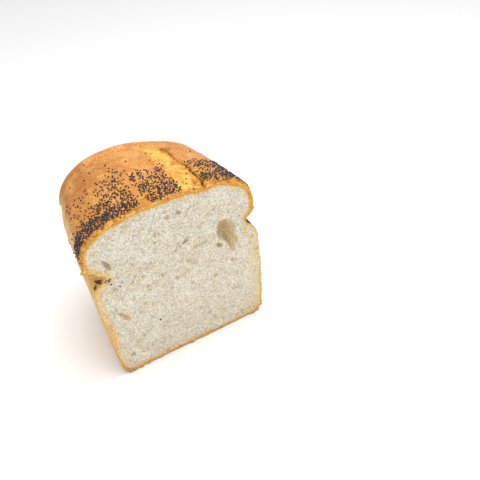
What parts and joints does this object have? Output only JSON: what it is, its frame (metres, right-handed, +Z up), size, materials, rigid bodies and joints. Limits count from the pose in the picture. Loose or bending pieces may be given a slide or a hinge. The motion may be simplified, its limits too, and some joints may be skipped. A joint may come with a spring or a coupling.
{
  "type": "tin loaf half",
  "caption": "Half of a white tin loaf, cut across: flat crumb face with a gas hole, browned crust, shred line along the sides, one slash along the poppy-seeded top, flat base.",
  "frame": {"origin": "middle of the base in plan, on the surface it stands on", "axes": "+Z up, -Y out of the cut face, +Y along the loaf to its baked end, +X to the right when looking at the cut face"},
  "size_m": [0.1184, 0.0956, 0.1285],
  "materials": {
    "bread": "matt, dry crust; soft cream crumb on the cut face"
  },
  "bodies": {
    "root": {"bread": "bread"}
  },
  "joints": []
}
